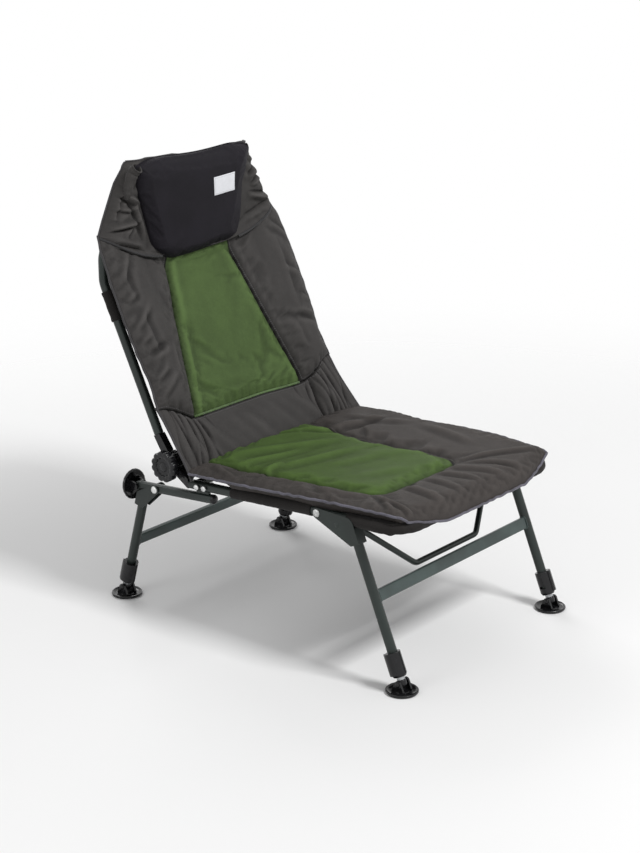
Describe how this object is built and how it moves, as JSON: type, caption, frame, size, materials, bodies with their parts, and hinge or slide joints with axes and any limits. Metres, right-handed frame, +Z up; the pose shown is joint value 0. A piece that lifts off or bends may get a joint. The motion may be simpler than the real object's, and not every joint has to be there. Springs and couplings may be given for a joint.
{
  "type": "folding fishing chair",
  "caption": "Low folding fishing chair with padded seat and reclining padded back, head pillow, telescopic folding legs and tilting mud feet.",
  "frame": {"origin": "on the ground under the middle of the chair's overall box", "axes": "+Z up, the sitter looks towards -Y, +X is the sitter's left"},
  "size_m": [0.5882, 0.84, 0.932],
  "materials": {
    "frame_paint": "satin dark green-grey paint",
    "crossbar_paint": "satin green-grey paint",
    "black_plastic": "smooth black moulding",
    "bright_steel": "bright plated steel",
    "inner_leg_steel": "bare drawn tube",
    "sling_cloth": "plain woven dark cloth",
    "cover_cloth": "padded dark grey-brown cloth with green middle panels",
    "pillow_cloth": "smooth near-black cloth with a bare white label"
  },
  "bodies": {
    "seat_frame": {"seat_rail_right": "frame_paint", "seat_rail_left": "frame_paint", "extension_tube_right": "frame_paint", "extension_tube_left": "frame_paint", "extension_cap_right": "black_plastic", "extension_cap_left": "black_plastic", "hinge_lower_arm_right": "black_plastic", "hinge_lower_arm_left": "black_plastic", "seat_front_bow": "frame_paint", "rear_cross_tube": "frame_paint", "seat_sling": "sling_cloth", "seat_cushion": "cover_cloth", "rail_bolt_right_1": "bright_steel", "rail_bolt_right_2": "bright_steel", "rail_bolt_left_1": "bright_steel", "rail_bolt_left_2": "bright_steel"},
    "back": {"hinge_upper_arm_right": "black_plastic", "hinge_upper_arm_left": "black_plastic", "back_hoop": "frame_paint", "back_sling": "sling_cloth", "back_cushion": "cover_cloth", "lumbar_band": "cover_cloth", "head_hood": "cover_cloth", "head_pillow": "pillow_cloth"},
    "front_legs": {"leg_tube_front_right": "frame_paint", "leg_tube_front_left": "frame_paint", "leg_bracket_front_right": "frame_paint", "leg_bracket_front_left": "frame_paint", "leg_collar_front_right": "black_plastic", "leg_collar_front_left": "black_plastic", "pivot_rivet_front_right": "bright_steel", "pivot_rivet_front_left": "bright_steel", "front_crossbar": "crossbar_paint", "front_brace": "frame_paint"},
    "rear_legs": {"leg_tube_rear_right": "frame_paint", "leg_tube_rear_left": "frame_paint", "leg_bracket_rear_right": "frame_paint", "leg_bracket_rear_left": "frame_paint", "leg_collar_rear_right": "black_plastic", "leg_collar_rear_left": "black_plastic", "pivot_rivet_rear_right": "bright_steel", "pivot_rivet_rear_left": "bright_steel", "rear_crossbar": "crossbar_paint"},
    "inner_leg_front_right": {"inner_leg_front_right": "inner_leg_steel"},
    "foot_front_right": {"foot_front_right": "black_plastic"},
    "lock_lever_front_right": {"lock_lever_front_right": "black_plastic"},
    "inner_leg_front_left": {"inner_leg_front_left": "inner_leg_steel"},
    "foot_front_left": {"foot_front_left": "black_plastic"},
    "lock_lever_front_left": {"lock_lever_front_left": "black_plastic"},
    "inner_leg_rear_right": {"inner_leg_rear_right": "inner_leg_steel"},
    "foot_rear_right": {"foot_rear_right": "black_plastic"},
    "lock_lever_rear_right": {"lock_lever_rear_right": "black_plastic"},
    "inner_leg_rear_left": {"inner_leg_rear_left": "inner_leg_steel"},
    "foot_rear_left": {"foot_rear_left": "black_plastic"},
    "lock_lever_rear_left": {"lock_lever_rear_left": "black_plastic"},
    "stand_foot_right": {"stand_foot_right": "black_plastic"},
    "recline_knob_right": {"recline_knob_right": "black_plastic"},
    "stand_foot_left": {"stand_foot_left": "black_plastic"},
    "recline_knob_left": {"recline_knob_left": "black_plastic"}
  },
  "joints": [
    {"name": "back_recline", "type": "hinge", "parent": "seat_frame", "child": "back", "pos_m": [0, 0.21366, 0.3348], "axis": [1, 0, 0], "range_deg": [-50, 75], "deforming": ["lumbar_band"]},
    {"name": "front_legs_fold", "type": "hinge", "parent": "seat_frame", "child": "front_legs", "pos_m": [0, -0.18104, 0.325], "axis": [1, 0, 0], "range_deg": [0, 87]},
    {"name": "rear_legs_fold", "type": "hinge", "parent": "seat_frame", "child": "rear_legs", "pos_m": [0, 0.25996, 0.26817], "axis": [1, 0, 0], "range_deg": [-105, 0]},
    {"name": "leg_slide_front_right", "type": "slide", "parent": "front_legs", "child": "inner_leg_front_right", "axis": [0, -0.3907, -0.9205], "range_m": [0, 0.1]},
    {"name": "foot_tilt_front_right", "type": "hinge", "parent": "inner_leg_front_right", "child": "foot_front_right", "pos_m": [-0.26, -0.38704, 0.02], "axis": [1, 0, 0], "range_deg": [-25, 25]},
    {"name": "lever_open_front_right", "type": "hinge", "parent": "front_legs", "child": "lock_lever_front_right", "pos_m": [-0.26, -0.38687, 0.06392], "axis": [0, 0.3907, 0.9205], "range_deg": [0, 110]},
    {"name": "leg_slide_front_left", "type": "slide", "parent": "front_legs", "child": "inner_leg_front_left", "axis": [0, -0.3907, -0.9205], "range_m": [0, 0.1]},
    {"name": "foot_tilt_front_left", "type": "hinge", "parent": "inner_leg_front_left", "child": "foot_front_left", "pos_m": [0.26, -0.38704, 0.02], "axis": [1, 0, 0], "range_deg": [-25, 25]},
    {"name": "lever_open_front_left", "type": "hinge", "parent": "front_legs", "child": "lock_lever_front_left", "pos_m": [0.26, -0.38687, 0.06392], "axis": [0, 0.3907, 0.9205], "range_deg": [-110, 0]},
    {"name": "leg_slide_rear_right", "type": "slide", "parent": "rear_legs", "child": "inner_leg_rear_right", "axis": [0, 0.2672, -0.9636], "range_m": [0, 0.1]},
    {"name": "foot_tilt_rear_right", "type": "hinge", "parent": "inner_leg_rear_right", "child": "foot_rear_right", "pos_m": [-0.26, 0.36296, 0.02], "axis": [1, 0, 0], "range_deg": [-25, 25]},
    {"name": "lever_open_rear_right", "type": "hinge", "parent": "rear_legs", "child": "lock_lever_rear_right", "pos_m": [-0.26, 0.33575, 0.05449], "axis": [0, -0.2672, 0.9636], "range_deg": [0, 110]},
    {"name": "leg_slide_rear_left", "type": "slide", "parent": "rear_legs", "child": "inner_leg_rear_left", "axis": [0, 0.2672, -0.9636], "range_m": [0, 0.1]},
    {"name": "foot_tilt_rear_left", "type": "hinge", "parent": "inner_leg_rear_left", "child": "foot_rear_left", "pos_m": [0.26, 0.36296, 0.02], "axis": [1, 0, 0], "range_deg": [-25, 25]},
    {"name": "lever_open_rear_left", "type": "hinge", "parent": "rear_legs", "child": "lock_lever_rear_left", "pos_m": [0.26, 0.33575, 0.05449], "axis": [0, -0.2672, 0.9636], "range_deg": [-110, 0]},
    {"name": "stand_foot_tilt_right", "type": "hinge", "parent": "seat_frame", "child": "stand_foot_right", "pos_m": [-0.26, 0.31496, 0.2635], "axis": [1, 0, 0], "range_deg": [-10, 20]},
    {"name": "knob_turn_right", "type": "hinge", "parent": "back", "child": "recline_knob_right", "pos_m": [-0.26, 0.21366, 0.3348], "axis": [1, 0, 0], "continuous": true},
    {"name": "stand_foot_tilt_left", "type": "hinge", "parent": "seat_frame", "child": "stand_foot_left", "pos_m": [0.26, 0.31496, 0.2635], "axis": [1, 0, 0], "range_deg": [-10, 20]},
    {"name": "knob_turn_left", "type": "hinge", "parent": "back", "child": "recline_knob_left", "pos_m": [0.26, 0.21366, 0.3348], "axis": [1, 0, 0], "continuous": true}
  ]
}
